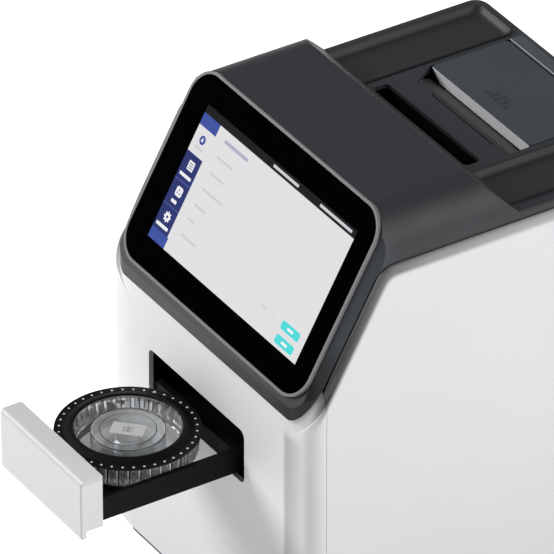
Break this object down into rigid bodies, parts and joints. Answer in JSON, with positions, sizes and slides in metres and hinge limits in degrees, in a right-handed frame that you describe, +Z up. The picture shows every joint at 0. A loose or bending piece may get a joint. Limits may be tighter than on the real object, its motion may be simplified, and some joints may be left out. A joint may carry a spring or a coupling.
{
  "type": "benchtop chemistry analyzer",
  "caption": "Benchtop chemistry analyzer with a tilted touch screen, a pull-out reagent rotor drawer and a receipt printer under a lid",
  "frame": {"origin": "Centre of the bounding box in x and y with the drawer open, at the underside of the rubber feet.", "axes": "+z up, the screen and the drawer face -y, +x to the right of a person who faces the screen"},
  "size_m": [0.212, 0.3542, 0.3099],
  "materials": {
    "white_shell": "satin",
    "dark_cover": "matte",
    "bezel_grey": "satin",
    "black_glass": "gloss",
    "black_plastic": "satin",
    "clear_plastic": "gloss",
    "lid_smoke": "gloss",
    "rubber": "matte",
    "steel": "brushed",
    "aluminium": "satin",
    "circuit_board": "matte",
    "paper": "matte"
  },
  "bodies": {
    "housing": {"front_shell": "white_shell", "side_panel_left": "white_shell", "side_panel_right": "white_shell", "rear_panel": "white_shell", "top_cover": "dark_cover", "base_tray": "dark_cover", "printer_frame": "dark_cover", "screen_bezel": "bezel_grey", "screen_glass": "black_glass", "drawer_bezel": "black_plastic", "incubator_cover": "black_plastic", "detector_module": "black_plastic", "power_inlet": "black_plastic", "switch_frame": "black_plastic", "fan_frame": "black_plastic", "grip_recess": "black_plastic", "printer_strip": "lid_smoke", "foot_front_left": "rubber", "foot_front_right": "rubber", "foot_rear_left": "rubber", "foot_rear_right": "rubber", "display_module": "steel", "chassis": "steel", "drawer_deck": "steel", "rail_left": "steel", "rail_right": "steel", "drawer_motor": "steel", "lamp_module": "steel", "power_supply": "steel", "usb_socket": "steel", "network_socket": "steel", "fan_grille": "steel", "lid_hinge_pin": "steel", "print_head": "steel", "display_board": "circuit_board", "main_board": "circuit_board"},
    "drawer": {"drawer_front": "white_shell", "drawer_tray": "black_plastic", "drawer_rack": "black_plastic", "spindle_motor": "steel"},
    "rotor": {"rotor_ring": "black_plastic", "cuvette_disc": "clear_plastic", "rotor_hub": "aluminium"},
    "pinion": {"drive_pinion": "aluminium"},
    "lid": {"printer_lid": "lid_smoke"},
    "platen": {"platen_roller": "rubber"},
    "paper": {"paper_roll": "paper"},
    "fan": {"fan_rotor": "black_plastic"},
    "rocker": {"power_rocker": "black_plastic"}
  },
  "joints": [
    {"name": "drawer_slide", "type": "slide", "parent": "housing", "child": "drawer", "axis": [0, 1, 0], "range_m": [0, 0.0986]},
    {"name": "rotor_spin", "type": "hinge", "parent": "drawer", "child": "rotor", "pos_m": [-0.011, -0.11965, 0.14], "axis": [0, 0, 1], "continuous": true},
    {"name": "pinion_spin", "type": "hinge", "parent": "housing", "child": "pinion", "pos_m": [-0.053, -0.05575, 0.1225], "axis": [0, 0, 1], "continuous": true},
    {"name": "lid_hinge", "type": "hinge", "parent": "housing", "child": "lid", "pos_m": [0, 0.15675, 0.286], "axis": [-1, 0, 0], "range_deg": [0, 75]},
    {"name": "platen_spin", "type": "hinge", "parent": "lid", "child": "platen", "pos_m": [0, 0.11475, 0.279], "axis": [1, 0, 0], "continuous": true},
    {"name": "paper_spin", "type": "hinge", "parent": "housing", "child": "paper", "pos_m": [0, 0.13375, 0.256], "axis": [1, 0, 0], "continuous": true},
    {"name": "fan_spin", "type": "hinge", "parent": "housing", "child": "fan", "pos_m": [0, 0.16025, 0.176], "axis": [0, 1, 0], "continuous": true},
    {"name": "rocker_switch", "type": "hinge", "parent": "housing", "child": "rocker", "pos_m": [-0.062, 0.16625, 0.09], "axis": [-1, 0, 0], "range_deg": [0, 16]}
  ],
  "couplings": [
    {"joint": "pinion_spin", "follows": "drawer_slide", "rad_per_m": 178.57}
  ]
}
